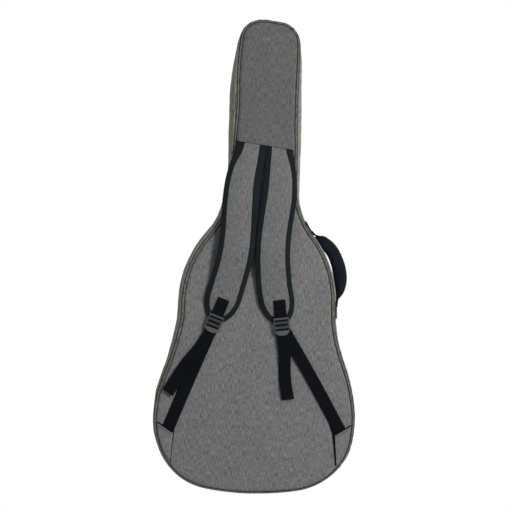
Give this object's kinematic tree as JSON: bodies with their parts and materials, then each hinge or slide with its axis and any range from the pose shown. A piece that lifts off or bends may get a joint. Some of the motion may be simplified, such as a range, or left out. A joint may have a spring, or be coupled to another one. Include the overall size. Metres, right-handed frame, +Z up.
{
  "type": "padded gig bag",
  "caption": "Padded soft case for an acoustic guitar: two zipped halves, neck rest, front pockets, rucksack straps with ladder-lock buckles, and a side carry handle.",
  "frame": {"origin": "on the floor, at the middle of the bag's length and width, with the bag lying on its front", "axes": "+Y along the bag towards its head, +Z up from the pockets to the back panel and the straps, +X across the bag towards the carry handle"},
  "size_m": [0.466, 1.0918, 0.1566],
  "materials": {
    "outer_fabric": "melange weave",
    "strap_fabric": "melange weave",
    "piping": "woven",
    "lining": "brushed",
    "binding": "grosgrain",
    "webbing": "woven webbing",
    "grip": "matt",
    "plastic": "matt",
    "zip_tape": "woven",
    "zip_metal": "satin black"
  },
  "bodies": {
    "front_shell": {"front_gusset": "outer_fabric", "front_hinge_leaf": "zip_tape", "front_panel": "outer_fabric", "front_piping": "piping", "front_zip_half": "zip_tape", "large_pocket": "outer_fabric", "neck_pocket": "outer_fabric", "pocket_zip": "zip_tape", "bridge_pad": "lining"},
    "back_shell": {"back_gusset": "outer_fabric", "back_hinge_leaf": "zip_tape", "back_padding": "lining", "back_panel": "outer_fabric", "back_piping": "piping", "back_zip_half": "zip_tape", "neck_panel": "outer_fabric", "neck_rest": "lining", "neck_strap": "webbing", "end_pad": "lining", "strap_anchor_left": "webbing", "strap_anchor_right": "webbing", "handle_tab_lower": "webbing", "handle_tab_upper": "webbing"},
    "handle": {"handle_grip": "grip", "handle_webbing_lower": "webbing", "handle_webbing_upper": "webbing"},
    "strap_left": {"strap_pad_left": "strap_fabric", "strap_binding_left": "binding", "strap_loop_left": "webbing"},
    "buckle_left": {"buckle_left": "plastic", "webbing_tail_left": "webbing"},
    "webbing_left": {"webbing_left": "webbing"},
    "strap_right": {"strap_pad_right": "strap_fabric", "strap_binding_right": "binding", "strap_loop_right": "webbing"},
    "buckle_right": {"buckle_right": "plastic", "webbing_tail_right": "webbing"},
    "webbing_right": {"webbing_right": "webbing"},
    "lower_zip_slider": {"lower_zip_slider": "zip_metal"},
    "lower_zip_puller": {"lower_zip_puller": "zip_metal"},
    "upper_zip_slider": {"upper_zip_slider": "zip_metal"},
    "upper_zip_puller": {"upper_zip_puller": "zip_metal"},
    "pocket_zip_slider": {"pocket_zip_slider": "zip_metal"},
    "pocket_zip_puller": {"pocket_zip_puller": "zip_metal"}
  },
  "joints": [
    {"name": "back_opens", "type": "hinge", "parent": "front_shell", "child": "back_shell", "pos_m": [0, -0.546, 0.049], "axis": [1, 0, 0], "range_deg": [0, 100]},
    {"name": "strap_left_swing", "type": "hinge", "parent": "back_shell", "child": "strap_left", "pos_m": [0, 0.257, 0.1312], "axis": [-0.9936, 0.1132, 0], "range_deg": [0, 10]},
    {"name": "webbing_left_swing", "type": "hinge", "parent": "back_shell", "child": "webbing_left", "pos_m": [-0.18606, -0.40833, 0.1306], "axis": [0.9397, -0.342, 0], "range_deg": [0, 14]},
    {"name": "buckle_left_tilt", "type": "hinge", "parent": "strap_left", "child": "buckle_left", "pos_m": [-0.0975, -0.14, 0.1403], "axis": [0.9397, -0.342, 0], "range_deg": [0, 24]},
    {"name": "strap_right_swing", "type": "hinge", "parent": "back_shell", "child": "strap_right", "pos_m": [0, 0.257, 0.1312], "axis": [-0.9936, 0.1132, 0], "range_deg": [0, 10]},
    {"name": "webbing_right_swing", "type": "hinge", "parent": "back_shell", "child": "webbing_right", "pos_m": [0.18607, -0.40232, 0.1306], "axis": [0.989, 0.1478, 0], "range_deg": [0, 13.6]},
    {"name": "buckle_right_tilt", "type": "hinge", "parent": "strap_right", "child": "buckle_right", "pos_m": [0.05, -0.14, 0.1403], "axis": [0.989, 0.1478, 0], "range_deg": [0, 23.6]},
    {"name": "handle_flex", "type": "hinge", "parent": "back_shell", "child": "handle", "pos_m": [0.15748, -0.02279, 0.091], "axis": [-0.342, 0.9397, 0], "range_deg": [-10, 10], "stiffness_Nm_per_rad": 0.6},
    {"name": "lower_zip_slide", "type": "slide", "parent": "front_shell", "child": "lower_zip_slider", "axis": [0, -1, 0], "range_m": [0, 0.04]},
    {"name": "lower_zip_puller_swing", "type": "hinge", "parent": "lower_zip_slider", "child": "lower_zip_puller", "pos_m": [0.0831, 0.233, 0.049], "axis": [0, 0, 1], "range_deg": [0, 150]},
    {"name": "upper_zip_slide", "type": "slide", "parent": "front_shell", "child": "upper_zip_slider", "axis": [0, 1, 0], "range_m": [0, 0.085]},
    {"name": "upper_zip_puller_swing", "type": "hinge", "parent": "upper_zip_slider", "child": "upper_zip_puller", "pos_m": [0.0831, 0.257, 0.049], "axis": [0, 0, -1], "range_deg": [0, 150]},
    {"name": "pocket_zip_slide", "type": "slide", "parent": "front_shell", "child": "pocket_zip_slider", "axis": [1, 0, 0], "range_m": [0, 0.22]},
    {"name": "pocket_zip_puller_swing", "type": "hinge", "parent": "pocket_zip_slider", "child": "pocket_zip_puller", "pos_m": [-0.11, -0.097, 0.0039], "axis": [0, 1, 0], "range_deg": [0, 150]}
  ],
  "couplings": [
    {"joint": "webbing_left_swing", "follows": "strap_left_swing", "ratio": 1.347},
    {"joint": "buckle_left_tilt", "follows": "strap_left_swing", "ratio": 2.347},
    {"joint": "webbing_right_swing", "follows": "strap_right_swing", "ratio": 1.308},
    {"joint": "buckle_right_tilt", "follows": "strap_right_swing", "ratio": 2.308}
  ]
}
